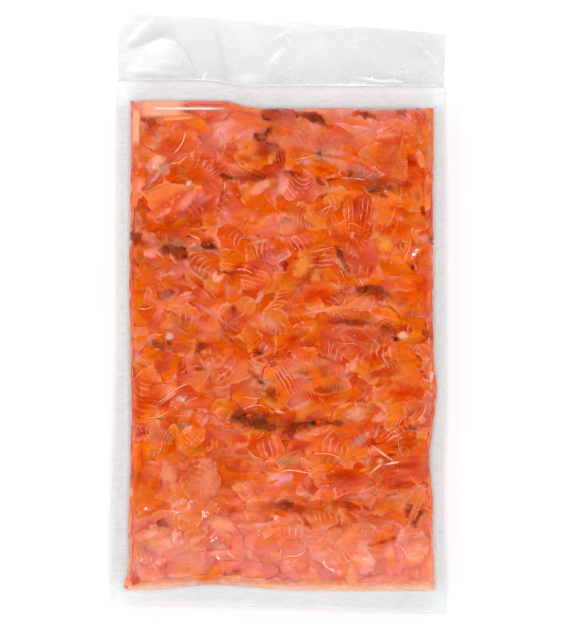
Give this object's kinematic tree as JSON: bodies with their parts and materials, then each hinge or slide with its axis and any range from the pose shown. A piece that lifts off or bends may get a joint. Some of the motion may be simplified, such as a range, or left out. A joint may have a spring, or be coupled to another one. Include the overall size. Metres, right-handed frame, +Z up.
{
  "type": "vacuum pack of smoked salmon",
  "caption": "Flat clear vacuum pouch filled with a pressed block of smoked salmon trimmings, with a wide sealed header at one end.",
  "frame": {"origin": "middle of the pouch's outline, on the surface it lies on", "axes": "+Y along the pouch towards its header, +Z up, out of the shown face, +X across to the right"},
  "size_m": [0.2028, 0.3618, 0.0197],
  "materials": {
    "salmon_under_film": "gloss",
    "clear_film": "gloss",
    "smoked_salmon": "satin"
  },
  "bodies": {
    "root": {"sealed_pouch": "salmon_under_film"}
  },
  "joints": []
}
